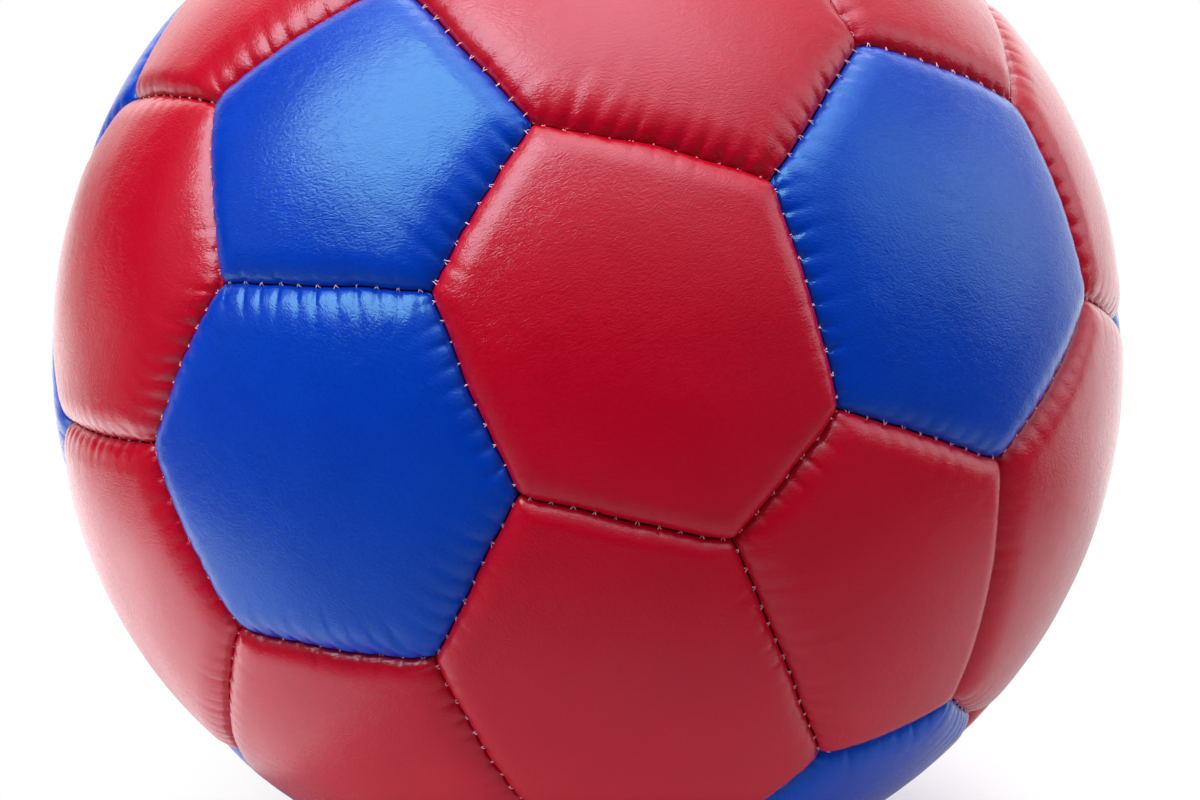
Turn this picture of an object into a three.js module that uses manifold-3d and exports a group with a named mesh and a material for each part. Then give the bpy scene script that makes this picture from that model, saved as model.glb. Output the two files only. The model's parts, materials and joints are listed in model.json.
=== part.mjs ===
// A mini soccer ball: 42 stitched panels, their stitching, a bladder and a needle valve with its plug.
// Millimetres, +Z up, origin under the ball where it rests. Its photographed side faces -Y.
import * as THREE from 'three';
import { mergeVertices } from 'three/addons/utils/BufferGeometryUtils.js';
import Module from 'manifold-3d';

// Panels: padded laminate, crowned in the middle, with edges that roll down into the seams
const BALL_RADIUS = 71;
const SEAM_DEPTH = 2.4;
const EDGE_THICKNESS = 2.3;
const ROLL_WIDTH = 5;
const CROWN_RISE = 0.6;
const CROWN_REACH = 18;
const PANEL_GAP = 0.3;
const REST_FLAT_DEPTH = 0.5;

// Stitching: a wedge-shaped strand that lies in the seams, over the gap between two panels
const THREAD_LIFT = 0.45;
const THREAD_HEIGHT = 0.75;
const THREAD_WIDTH = 0.9;

// Bladder: a thin rubber sphere inside the panels
const BLADDER_CLEARANCE = 0.6;
const BLADDER_WALL = 1.2;

// Valve: a rubber housing with a flange inside the bladder, and a plug that a needle passes
const FIT_CLEARANCE = 0.3;
const HOUSING_RADIUS = 4;
const HOUSING_LENGTH = 17;
const HOUSING_END_WALL = 1.5;
const HOUSING_SINK = 0.6;
const NEEDLE_EXIT_RADIUS = 0.8;
const FLANGE_RADIUS = 11;
const FLANGE_THICKNESS = 1.2;
const PLUG_RADIUS = 2;
const PLUG_LENGTH = 14;
const PLUG_HEAD_RADIUS = 2.8;
const PLUG_HEAD_THICKNESS = 1;
const NEEDLE_HOLE_RADIUS = 0.9;
const NEEDLE_HOLE_DEPTH = 9;

// Facets: steps along each panel side, rings of points in from its edge, and round steps
const SIDE_STEPS = 3;
const EDGE_RINGS = [0, 1.1, 3.4, 9.5];
const ROUND_STEPS = 24;
const BLADDER_STEPS = 24;
const BLADDER_RINGS = 16;
const FLANGE_STEPS = 3;

// Layout: a pentagon lies at each corner of an icosahedron and a hexagon on each of its edges.
// The icosahedron stands with an edge level at the top and the bottom, turned about Z.
const LAYOUT_TURN = -27;
const PENTAGON_CORNER_ANGLE = 18.6;
const GOLDEN = (1 + Math.sqrt(5)) / 2;
const ICOSAHEDRON = [
  [GOLDEN, 0, 1], [1, GOLDEN, 0], [GOLDEN, 0, -1], [-1, GOLDEN, 0],
  [0, -1, -GOLDEN], [0, -1, GOLDEN], [1, -GOLDEN, 0], [0, 1, GOLDEN],
  [0, 1, -GOLDEN], [-GOLDEN, 0, -1], [-1, -GOLDEN, 0], [-GOLDEN, 0, 1],
];
// Each icosahedron corner has five neighbours
const NEIGHBOUR_COUNT = 5;
const BOTTOM_PANEL = 'hexagon_panel_4_8';
const VALVE_PANEL = 'hexagon_panel_10_11';
const BLUE_PANELS = [
  'pentagon_panel_0', 'pentagon_panel_3', 'pentagon_panel_6',
  'hexagon_panel_0_2', 'hexagon_panel_1_7', 'hexagon_panel_1_8', 'hexagon_panel_2_4',
  'hexagon_panel_5_6', 'hexagon_panel_5_11', 'hexagon_panel_6_10', 'hexagon_panel_4_10',
  'hexagon_panel_8_9', 'hexagon_panel_9_10', 'hexagon_panel_9_11',
];

// Hand-cut panels stray from the regular net. These corners are where the photographed side has them,
// as degrees of longitude (0 at the front, positive to the right) and latitude.
// 'a-b-c' is the corner between three hexagons, and 'p:a-b-c' pentagon p's corner on that side.
const SEEN_CORNERS = {
  '0:0-5-6': [-56.5, 34.5],
  '0:0-2-6': [-42, 18.5],
  '0:0-1-2': [-17, 23],
  '0:0-1-7': [-9.5, 41],
  '0:0-5-7': [-40, 53.5],
  '0-1-7': [20.5, 36.5],
  '0-1-2': [-5.5, 5],
  '0-2-6': [-48, 0],
  '0-5-6': [-81, 28],
  '1:0-1-7': [26, 14],
  '1:0-1-2': [15.5, 1.5],
  '1:1-2-8': [31.5, -26.5],
  '1:1-3-8': [49.5, -23],
  '1:1-3-7': [47, 6],
  '1-3-7': [68, 18],
  '1-3-8': [67, -32.5],
  '1-2-8': [20, -42],
  '2:0-1-2': [-13, -14],
  '2:0-2-6': [-36.5, -17],
  '2:2-4-6': [-55, -45],
  '2:2-4-8': [-28, -58],
  '2:1-2-8': [-3, -34],
  '3:1-3-7': [85.5, 10],
  '5:0-5-6': [-98, 40.5],
  '6:0-5-6': [-92, 10.5],
  '6:0-2-6': [-73, -6.5],
  '6:2-4-6': [-83, -25],
  '7:0-1-7': [41.5, 50.5],
  '7:1-3-7': [69, 39.5],
  '7:3-7-11': [97, 48],
  '7:0-5-7': [40, 71.5],
};
// The share of its neighbours' shift that an unseen corner loses, and how often the shifts are passed on
const SHIFT_LOSS = 0.07;
const SHIFT_ROUNDS = 200;

// Points closer than this are one point
const WELD_DISTANCE = 1e-4;

// Heights and radii that follow from the sizes above
const SEAM_RADIUS = BALL_RADIUS - SEAM_DEPTH;
const INNER_RADIUS = SEAM_RADIUS - EDGE_THICKNESS;
const BALL_CENTRE_HEIGHT = BALL_RADIUS - REST_FLAT_DEPTH;
const BLADDER_RADIUS = INNER_RADIUS - BLADDER_CLEARANCE;
const BLADDER_INNER_RADIUS = BLADDER_RADIUS - BLADDER_WALL;
const VALVE_HOLE_RADIUS = HOUSING_RADIUS + FIT_CLEARANCE;
const HOUSING_TOP = BALL_RADIUS - HOUSING_SINK;

const MATERIALS = {
  redLeather: new THREE.MeshStandardMaterial({ color: 0xa01528, roughness: 0.35, metalness: 0 }),
  blueLeather: new THREE.MeshStandardMaterial({ color: 0x0a3aa8, roughness: 0.35, metalness: 0 }),
  thread: new THREE.MeshStandardMaterial({ color: 0xd9b8c4, roughness: 0.8, metalness: 0 }),
  bladderRubber: new THREE.MeshStandardMaterial({ color: 0x1c1c1e, roughness: 0.6, metalness: 0 }),
  valveRubber: new THREE.MeshStandardMaterial({ color: 0x26262a, roughness: 0.5, metalness: 0 }),
};

const wasm = await Module();
wasm.setup();

const radians = THREE.MathUtils.degToRad;

// A unit vector from degrees of longitude and latitude
function direction(longitude, latitude) {
  const level = Math.cos(radians(latitude));
  return new THREE.Vector3(
    level * Math.sin(radians(longitude)),
    -level * Math.cos(radians(longitude)),
    Math.sin(radians(latitude)),
  );
}

// The point on the sphere at an angle from one unit vector towards another
function towards(from, to, angle) {
  const whole = from.angleTo(to);
  const near = from.clone().multiplyScalar(Math.sin(whole - angle));
  const far = to.clone().multiplyScalar(Math.sin(angle));
  return near.add(far).normalize();
}

function meanDirection(vectors) {
  const sum = new THREE.Vector3();
  for (const vector of vectors) sum.add(vector);
  return sum.normalize();
}

// The icosahedron's corners, edges and triangles, which number the panels
function icosahedronNet() {
  const front = direction(LAYOUT_TURN, 0);
  const right = direction(LAYOUT_TURN + 90, 0);
  const up = direction(0, 90);
  const corners = ICOSAHEDRON.map(([f, r, u]) => (
    new THREE.Vector3().addScaledVector(front, f).addScaledVector(right, r).addScaledVector(up, u).normalize()
  ));
  const neighbours = corners.map((corner, own) => (
    [...corners.keys()].filter((i) => i !== own)
      .sort((i, j) => corner.dot(corners[j]) - corner.dot(corners[i])).slice(0, NEIGHBOUR_COUNT)
  ));
  const joined = (i, j) => neighbours[i].includes(j);
  const edges = [];
  const triangles = [];
  for (let i = 0; i < corners.length; i += 1) {
    for (let j = i + 1; j < corners.length; j += 1) {
      if (!joined(i, j)) continue;
      edges.push([i, j]);
      for (let k = j + 1; k < corners.length; k += 1) {
        if (joined(i, k) && joined(j, k)) triangles.push([i, j, k]);
      }
    }
  }
  return { corners, edges, triangles };
}

const triangleName = (triangle) => triangle.join('-');
const pentagonCornerName = (pentagon, triangle) => `${pentagon}:${triangleName(triangle)}`;

// Every seam corner's direction, and the seams as pairs of corner names
function seamNet({ corners, edges, triangles }) {
  const points = new Map();
  const seams = [];
  for (const triangle of triangles) {
    const centre = meanDirection(triangle.map((i) => corners[i]));
    points.set(triangleName(triangle), centre);
    for (const i of triangle) {
      points.set(pentagonCornerName(i, triangle), towards(corners[i], centre, radians(PENTAGON_CORNER_ANGLE)));
      seams.push([triangleName(triangle), pentagonCornerName(i, triangle)]);
    }
  }
  for (const edge of edges) {
    const sides = triangles.filter((triangle) => edge.every((i) => triangle.includes(i)));
    for (const i of edge) seams.push(sides.map((triangle) => pentagonCornerName(i, triangle)));
  }
  return { points, seams };
}

// Moves the seen corners to their places and lets the shift fade out over the unseen ones
function fitSeenCorners({ points, seams }) {
  const neighbours = new Map([...points.keys()].map((name) => [name, []]));
  for (const [a, b] of seams) {
    neighbours.get(a).push(b);
    neighbours.get(b).push(a);
  }
  const shifts = new Map([...points.keys()].map((name) => [name, new THREE.Vector3()]));
  for (const [name, [longitude, latitude]] of Object.entries(SEEN_CORNERS)) {
    shifts.set(name, direction(longitude, latitude).sub(points.get(name)));
  }
  for (let round = 0; round < SHIFT_ROUNDS; round += 1) {
    for (const [name, point] of points) {
      if (name in SEEN_CORNERS) continue;
      const mean = new THREE.Vector3();
      for (const other of neighbours.get(name)) mean.add(shifts.get(other));
      mean.divideScalar(neighbours.get(name).length);
      mean.addScaledVector(point, -mean.dot(point));
      shifts.set(name, mean.multiplyScalar(1 - SHIFT_LOSS));
    }
  }
  const fitted = new Map();
  for (const [name, point] of points) {
    const moved = point.clone().add(shifts.get(name)).normalize();
    moved.name = name;
    fitted.set(name, moved);
  }
  return fitted;
}

// Points in order round their middle, anticlockwise seen from outside the ball
function inOrder(corners) {
  const centre = meanDirection(corners);
  const across = corners[0].clone().projectOnPlane(centre).normalize();
  const along = centre.clone().cross(across);
  const angle = (corner) => Math.atan2(corner.dot(along), corner.dot(across));
  return [...corners].sort((a, b) => angle(a) - angle(b));
}

// The 42 panels, each with its node name and its corners
function panelList(net, points) {
  const panels = [];
  net.corners.forEach((_, pentagon) => {
    const around = net.triangles.filter((triangle) => triangle.includes(pentagon));
    const corners = around.map((triangle) => points.get(pentagonCornerName(pentagon, triangle)));
    panels.push({ name: `pentagon_panel_${pentagon}`, corners: inOrder(corners) });
  });
  for (const [i, j] of net.edges) {
    const sides = net.triangles.filter((triangle) => triangle.includes(i) && triangle.includes(j));
    const corners = sides.flatMap((triangle) => [
      points.get(triangleName(triangle)),
      points.get(pentagonCornerName(i, triangle)),
      points.get(pentagonCornerName(j, triangle)),
    ]);
    panels.push({ name: `hexagon_panel_${i}_${j}`, corners: inOrder(corners) });
  }
  return panels;
}

// A panel's outer radius at a distance in from the nearest seam
function outerRadius(fromSeam) {
  const roll = Math.min(Math.max(fromSeam, 0) / ROLL_WIDTH, 1);
  const dome = Math.min(Math.max(fromSeam, 0) / CROWN_REACH, 1);
  const rollHeight = (SEAM_DEPTH - CROWN_RISE) * Math.sqrt(1 - (1 - roll) ** 2);
  const domeHeight = CROWN_RISE * (1 - (1 - dome) ** 2);
  return SEAM_RADIUS + rollHeight + domeHeight;
}

// Where two neighbouring sides meet once each is moved in from its seam by an angle
function insetCorner(before, after, inset) {
  const along = before.clone().cross(after);
  const share = Math.sin(inset) / (1 + before.dot(after));
  const both = before.clone().add(after).multiplyScalar(share);
  const rest = Math.sqrt((1 - both.lengthSq()) / along.lengthSq());
  return both.addScaledVector(along, rest);
}

// One closed body from rings of points: the first and last entries are single middle points
function closedRings(first, rings, last) {
  const count = rings[0].length;
  const positions = [first, ...rings.flat(), last].flatMap((point) => [point.x, point.y, point.z]);
  const at = (ring, step) => 1 + ring * count + (step % count);
  const end = 1 + rings.length * count;
  const faces = [];
  for (let step = 0; step < count; step += 1) {
    faces.push(0, at(0, step), at(0, step + 1));
    for (let ring = 0; ring + 1 < rings.length; ring += 1) {
      faces.push(at(ring, step), at(ring + 1, step), at(ring + 1, step + 1));
      faces.push(at(ring, step), at(ring + 1, step + 1), at(ring, step + 1));
    }
    faces.push(at(rings.length - 1, step), end, at(rings.length - 1, step + 1));
  }
  const geometry = new THREE.BufferGeometry();
  geometry.setAttribute('position', new THREE.Float32BufferAttribute(positions, 3));
  geometry.setIndex(faces);
  return geometry;
}

// Points at even steps on the arc from one unit vector to another, at a radius
function arcPoints(from, to, radius) {
  const whole = from.angleTo(to);
  return Array.from({ length: SIDE_STEPS + 1 }, (_, step) => (
    towards(from, to, whole * step / SIDE_STEPS).multiplyScalar(radius)
  ));
}

// The inward normals of the planes through a panel's sides, each side starting at its corner
function panelSides(corners) {
  return corners.map((corner, i) => corner.clone().cross(corners[(i + 1) % corners.length]).normalize());
}

// A padded panel between its seams, open to its neighbours by the panel gap
function panelGeometry(corners) {
  const centre = meanDirection(corners);
  const sides = panelSides(corners);
  const fromSeam = (point) => BALL_RADIUS * Math.asin(Math.min(...sides.map((side) => side.dot(point))));
  const inset = PANEL_GAP / 2 / INNER_RADIUS;
  const insetCorners = sides.map((side, i) => insetCorner(sides.at(i - 1), side, inset));
  const edge = insetCorners.flatMap((corner, i) => (
    arcPoints(corner, insetCorners[(i + 1) % corners.length], 1).slice(0, SIDE_STEPS)
  ));
  const reach = fromSeam(centre);
  const ring = (inward) => edge.map((point) => point.clone().lerp(centre, inward / reach).normalize());
  const outside = (point) => point.clone().multiplyScalar(outerRadius(fromSeam(point)));
  const inside = (point) => point.clone().multiplyScalar(INNER_RADIUS);
  const outerRings = [...EDGE_RINGS].reverse().map((inward) => ring(inward).map(outside));
  const innerRings = [EDGE_RINGS[0], EDGE_RINGS.at(-1)].map((inward) => ring(inward).map(inside));
  return closedRings(outside(centre), [...outerRings, ...innerRings], inside(centre));
}

// A geometry as a solid that can be joined and cut
function toSolid(geometry) {
  const bare = geometry.clone();
  bare.deleteAttribute('normal');
  bare.deleteAttribute('uv');
  const merged = mergeVertices(bare, WELD_DISTANCE);
  return new wasm.Manifold(new wasm.Mesh({
    numProp: 3,
    vertProperties: new Float32Array(merged.attributes.position.array),
    triVerts: new Uint32Array(merged.index.array),
  }));
}

function fromSolid(solid) {
  const { vertProperties, triVerts } = solid.getMesh();
  const geometry = new THREE.BufferGeometry();
  geometry.setAttribute('position', new THREE.BufferAttribute(vertProperties, 3));
  geometry.setIndex(new THREE.BufferAttribute(triVerts, 1));
  return geometry;
}

// Cuts the small flat that the ball rests on
function cutRestFlat(geometry) {
  const block = new THREE.BoxGeometry(BALL_RADIUS, BALL_RADIUS, BALL_RADIUS);
  block.translate(0, 0, -BALL_CENTRE_HEIGHT - BALL_RADIUS / 2);
  return fromSolid(toSolid(geometry).subtract(toSolid(block)));
}

// Cuts the valve hole through a panel
function cutValveHole(geometry, valveTurn) {
  const drill = new THREE.CylinderGeometry(VALVE_HOLE_RADIUS, VALVE_HOLE_RADIUS, BALL_RADIUS, ROUND_STEPS);
  drill.rotateX(Math.PI / 2);
  drill.translate(0, 0, BALL_RADIUS);
  drill.applyQuaternion(valveTurn);
  return fromSolid(toSolid(geometry).subtract(toSolid(drill)));
}

// The triangles between two lines of points, facing away from the ball if the first lies on the right
function strip(right, left) {
  const triangles = [];
  for (let step = 0; step < SIDE_STEPS; step += 1) {
    triangles.push(right[step], right[step + 1], left[step + 1], right[step], left[step + 1], left[step]);
  }
  return triangles;
}

// The whole stitching: a wedge with its edge down in every seam, joined at the corners.
// Each panel side gives the wedge's flank on that panel and one of the wedge's two top edges.
function stitchingGeometry(panelPlans) {
  const bottom = SEAM_RADIUS + THREAD_LIFT;
  const top = bottom + THREAD_HEIGHT;
  const inset = Math.asin(THREAD_WIDTH / 2 / top);
  const triangles = [];
  const topEdges = new Map();
  const topCorners = new Map();
  for (const { corners } of panelPlans) {
    const sides = panelSides(corners);
    const insetCorners = sides.map((side, i) => insetCorner(sides.at(i - 1), side, inset));
    corners.forEach((corner, i) => {
      const following = (i + 1) % corners.length;
      const topEdge = arcPoints(insetCorners[i], insetCorners[following], top);
      triangles.push(...strip(topEdge, arcPoints(corner, corners[following], bottom)));
      topEdges.set(`${corner.name} ${corners[following].name}`, topEdge);
      if (!topCorners.has(corner.name)) topCorners.set(corner.name, []);
      topCorners.get(corner.name).push(topEdge[0]);
    });
  }
  for (const [ends, left] of topEdges) {
    const [from, to] = ends.split(' ');
    if (from < to) triangles.push(...strip([...topEdges.get(`${to} ${from}`)].reverse(), left));
  }
  for (const around of topCorners.values()) triangles.push(...inOrder(around));
  const geometry = new THREE.BufferGeometry().setFromPoints(triangles);
  return mergeVertices(geometry, WELD_DISTANCE);
}

// A turned solid about Z from its profile of [radius, height] points
function turned(profile, steps) {
  const geometry = new THREE.LatheGeometry(profile.map(([radius, height]) => new THREE.Vector2(radius, height)), steps);
  geometry.rotateX(Math.PI / 2);
  return fromSolid(toSolid(geometry));
}

// Points on a sphere round the origin, from one distance off the axis to another
function sphereProfile(radius, fromOff, toOff, steps) {
  return Array.from({ length: steps + 1 }, (_, step) => {
    const off = THREE.MathUtils.lerp(fromOff, toOff, step / steps);
    return [off, Math.sqrt(radius ** 2 - off ** 2)];
  });
}

// The bladder, a hollow sphere open at the valve
function bladderGeometry() {
  const arc = (radius) => {
    const opening = Math.asin(VALVE_HOLE_RADIUS / radius);
    return Array.from({ length: BLADDER_RINGS + 1 }, (_, step) => {
      const angle = THREE.MathUtils.lerp(Math.PI, opening, step / BLADDER_RINGS);
      return [step === 0 ? 0 : radius * Math.sin(angle), radius * Math.cos(angle)];
    });
  };
  return turned([...arc(BLADDER_RADIUS), ...arc(BLADDER_INNER_RADIUS).reverse()], BLADDER_STEPS);
}

// The valve housing: a sleeve through the bladder and the panel, with a flange inside the bladder
function housingGeometry() {
  const bottom = HOUSING_TOP - HOUSING_LENGTH;
  const bore = PLUG_RADIUS + FIT_CLEARANCE;
  const seat = HOUSING_TOP - PLUG_HEAD_THICKNESS - FIT_CLEARANCE;
  const mouth = PLUG_HEAD_RADIUS + FIT_CLEARANCE;
  const flangeOuter = BLADDER_INNER_RADIUS - FIT_CLEARANCE;
  const flangeInner = flangeOuter - FLANGE_THICKNESS;
  const start = [NEEDLE_EXIT_RADIUS, bottom];
  return turned([
    start,
    [HOUSING_RADIUS, bottom],
    ...sphereProfile(flangeInner, HOUSING_RADIUS, FLANGE_RADIUS, FLANGE_STEPS),
    ...sphereProfile(flangeOuter, FLANGE_RADIUS, HOUSING_RADIUS, FLANGE_STEPS),
    [HOUSING_RADIUS, HOUSING_TOP],
    [mouth, HOUSING_TOP],
    [mouth, seat],
    [bore, seat],
    [bore, bottom + HOUSING_END_WALL],
    [NEEDLE_EXIT_RADIUS, bottom + HOUSING_END_WALL],
    start,
  ], ROUND_STEPS);
}

// The plug: a headed pin with a blind guide hole for the needle
function plugGeometry() {
  const top = HOUSING_TOP;
  const underHead = top - PLUG_HEAD_THICKNESS;
  return turned([
    [0, top - PLUG_LENGTH],
    [PLUG_RADIUS, top - PLUG_LENGTH],
    [PLUG_RADIUS, underHead],
    [PLUG_HEAD_RADIUS, underHead],
    [PLUG_HEAD_RADIUS, top],
    [NEEDLE_HOLE_RADIUS, top],
    [NEEDLE_HOLE_RADIUS, top - NEEDLE_HOLE_DEPTH],
    [0, top - NEEDLE_HOLE_DEPTH],
  ], ROUND_STEPS);
}

function namedMesh(name, geometry, material) {
  const mesh = new THREE.Mesh(geometry, material);
  mesh.name = name;
  return mesh;
}

const icosahedron = icosahedronNet();
const panels = panelList(icosahedron, fitSeenCorners(seamNet(icosahedron)));

const valveDirection = meanDirection(panels.find((panel) => panel.name === VALVE_PANEL).corners);
const valveTurn = new THREE.Quaternion().setFromUnitVectors(new THREE.Vector3(0, 0, 1), valveDirection);

function panelMesh({ name, corners }) {
  let geometry = panelGeometry(corners);
  if (name === BOTTOM_PANEL) geometry = cutRestFlat(geometry);
  if (name === VALVE_PANEL) geometry = cutValveHole(geometry, valveTurn);
  const material = BLUE_PANELS.includes(name) ? MATERIALS.blueLeather : MATERIALS.redLeather;
  return namedMesh(name, geometry, material);
}

const ball = new THREE.Group();
ball.position.z = BALL_CENTRE_HEIGHT;
ball.add(...panels.map(panelMesh));
ball.add(namedMesh('seam_thread', stitchingGeometry(panels), MATERIALS.thread));

const valve = new THREE.Group();
valve.quaternion.copy(valveTurn);
valve.add(namedMesh('bladder', bladderGeometry(), MATERIALS.bladderRubber));
valve.add(namedMesh('valve_housing', housingGeometry(), MATERIALS.valveRubber));
valve.add(namedMesh('valve_plug', plugGeometry(), MATERIALS.valveRubber));
ball.add(valve);

const model = new THREE.Group();
model.add(ball);
export default model;
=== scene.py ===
import itertools
import json
import math
import random

import bpy
import numpy as np
from mathutils import Matrix, Vector


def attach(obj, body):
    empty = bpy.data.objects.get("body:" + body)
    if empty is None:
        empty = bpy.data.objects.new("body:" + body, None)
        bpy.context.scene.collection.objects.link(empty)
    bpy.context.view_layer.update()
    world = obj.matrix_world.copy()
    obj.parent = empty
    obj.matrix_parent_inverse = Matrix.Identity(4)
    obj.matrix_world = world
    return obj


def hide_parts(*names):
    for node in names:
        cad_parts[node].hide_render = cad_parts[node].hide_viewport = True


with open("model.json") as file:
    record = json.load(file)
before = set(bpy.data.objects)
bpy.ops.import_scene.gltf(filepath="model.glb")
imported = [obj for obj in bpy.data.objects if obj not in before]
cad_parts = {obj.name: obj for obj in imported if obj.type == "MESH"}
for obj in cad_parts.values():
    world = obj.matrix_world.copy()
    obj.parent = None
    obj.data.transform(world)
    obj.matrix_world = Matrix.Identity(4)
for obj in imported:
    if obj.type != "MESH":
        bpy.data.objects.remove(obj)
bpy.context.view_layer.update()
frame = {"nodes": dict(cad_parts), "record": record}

# A mini soccer ball: padded leather panels, their stitching, a rubber valve and the bladder.
# The ball's lengths are in millimetres until a mesh is made, and the stage's are in metres.
# Directions are unit vectors from the ball's centre.
METRE = 0.001

# The ball, as the frame holds it
BALL_RADIUS = 71.0
SEAM_DEPTH = 2.4
EDGE_THICKNESS = 2.3
REST_FLAT_DEPTH = 0.5
SEAM_RADIUS = BALL_RADIUS - SEAM_DEPTH
INNER_RADIUS = SEAM_RADIUS - EDGE_THICKNESS
CENTRE = np.array([0.0, 0.0, BALL_RADIUS - REST_FLAT_DEPTH])

# Padding: how far an edge rolls over into its seam, and the gentle crown of the whole panel
ROLL_WIDTH = 4.2
CROWN_RISE = 0.4
CROWN_REACH = 16.0
CORNER_SHARPNESS = 2.4
CORNER_ROUND = 0.6
UNDERSIDE_CLEARANCE = 0.1

# Unevenness: slow lumps over a whole panel, and ripples that fade out inwards from its edge
LUMP_HEIGHT = 0.06
LUMP_SIZE = 7.5
RIPPLE_HEIGHT = 0.06
RIPPLE_SIZE = 2.4
RIPPLE_FADE = 3.5
EVEN_EDGE = 1.2

# Stitches, how a seam wanders between them, and the share of its length where it settles at a corner
STITCH_SPACING = 2.75
STITCH_TUCK = 0.16
WANDER = 0.16
WANDER_TURNS = (1, 2, 3, 5)
WANDER_FADE = 1.6
SETTLING_SHARE = 0.12
# Folds: the least and most of their random strength, length, slant and width, how much wider they get
# for each millimetre inwards, and where they start
FOLD_LEAST = (0.55, 0.6, -0.12, 0.8)
FOLD_MOST = (1.2, 1.4, 0.12, 1.25)
FOLD_WIDENING = 0.12
FOLD_START = 0.35
# Thread: its radius, reach over a lip, lean along the seam and bow outwards, how far each of these
# strays at random, and the steps of its mesh
THREAD_RADIUS = 0.055
THREAD_REACH = 0.32
THREAD_LEAN = 0.34
THREAD_BOW = 0.14
THREAD_STRAY = 0.12
THREAD_LEAN_SHARES = (0.2, 1.15)
THREAD_LIFTS = (-0.16, 0.06)
THREAD_REACH_SHARES = (0.3, 1.2)
THREAD_RADIUS_SHARES = (0.8, 1.2)
THREAD_SIDES = 6
THREAD_STEPS = 5

# Mesh of a panel: points along each side, steps round a corner, edge rings in millimetres, inner rings as
# shares of the rest with how many edge points one of theirs stands for, and rings of the underside
SIDE_POINTS = 128
CORNER_STEPS = 12
EDGE_RINGS = [0.1, 0.16, 0.26, 0.4, 0.57, 0.77, 1.0, 1.26, 1.55, 1.88, 2.25, 2.65, 3.1, 3.6, 4.15, 4.8]
FINE_RINGS = 11
INNER_RINGS = [0.06, 0.13, 0.21, 0.3, 0.4, 0.52, 0.66, 0.82]
INNER_THINNING = [2, 2, 4, 4, 8, 8, 16, 16]
HOLED_THINNING = [2, 2, 2, 4, 4, 4, 4, 4]
UNDER_RINGS = [0.1, 0.25, 0.45, 0.7]

# Valve, as the frame holds it, with its small bevels and the rounded edge of the leather's hole
VALVE_PANEL = "hexagon_panel_10_11"
FIT_CLEARANCE = 0.3
HOUSING_RADIUS = 4.0
HOUSING_LENGTH = 17.0
HOUSING_END_WALL = 1.5
HOUSING_TOP = BALL_RADIUS - 0.6
NEEDLE_EXIT_RADIUS = 0.8
FLANGE_RADIUS = 11.0
FLANGE_THICKNESS = 1.2
FLANGE_TOP = 64.2
PLUG_RADIUS = 2.0
PLUG_LENGTH = 14.0
PLUG_HEAD_RADIUS = 2.8
PLUG_HEAD_THICKNESS = 1.0
NEEDLE_HOLE_RADIUS = 0.9
NEEDLE_HOLE_DEPTH = 9.0
HOUSING_BEVEL = 0.12
PLUG_BEVEL = 0.1
HOLE_EDGE_DEPTH = 0.5
HOLE_EDGE_WIDTH = 0.8
ROUND_STEPS = 72

# Layout: pentagons at the corners of an icosahedron, hexagons on its edges
LAYOUT_TURN = -27.0
PENTAGON_CORNER_ANGLE = 18.6
GOLDEN = (1 + math.sqrt(5)) / 2
ICOSAHEDRON = [
    (GOLDEN, 0, 1), (1, GOLDEN, 0), (GOLDEN, 0, -1), (-1, GOLDEN, 0),
    (0, -1, -GOLDEN), (0, -1, GOLDEN), (1, -GOLDEN, 0), (0, 1, GOLDEN),
    (0, 1, -GOLDEN), (-GOLDEN, 0, -1), (-1, -GOLDEN, 0), (-GOLDEN, 0, 1),
]
# Neighbouring corners are 63.4 degrees apart, a cosine of 0.447, and the others more
NEIGHBOUR_COSINE = 0.4
# Where the photographed side has its corners, in degrees of longitude and latitude
SEEN_CORNERS = {
    "0:0-5-6": (-56.5, 34.5),
    "0:0-2-6": (-42, 18.5),
    "0:0-1-2": (-17, 23),
    "0:0-1-7": (-9.5, 41),
    "0:0-5-7": (-40, 53.5),
    "0-1-7": (20.5, 36.5),
    "0-1-2": (-5.5, 5),
    "0-2-6": (-48, 0),
    "0-5-6": (-81, 28),
    "1:0-1-7": (26, 14),
    "1:0-1-2": (15.5, 1.5),
    "1:1-2-8": (31.5, -26.5),
    "1:1-3-8": (49.5, -23),
    "1:1-3-7": (47, 6),
    "1-3-7": (68, 18),
    "1-3-8": (67, -32.5),
    "1-2-8": (20, -42),
    "2:0-1-2": (-13, -14),
    "2:0-2-6": (-36.5, -17),
    "2:2-4-6": (-55, -45),
    "2:2-4-8": (-28, -58),
    "2:1-2-8": (-3, -34),
    "3:1-3-7": (85.5, 10),
    "5:0-5-6": (-98, 40.5),
    "6:0-5-6": (-92, 10.5),
    "6:0-2-6": (-73, -6.5),
    "6:2-4-6": (-83, -25),
    "7:0-1-7": (41.5, 50.5),
    "7:1-3-7": (69, 39.5),
    "7:3-7-11": (97, 48),
    "7:0-5-7": (40, 71.5),
}
# How much of its neighbours' shift an unseen corner takes, and how often the shifts are passed on
SHIFT_FADE = 0.93
SHIFT_ROUNDS = 200

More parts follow.
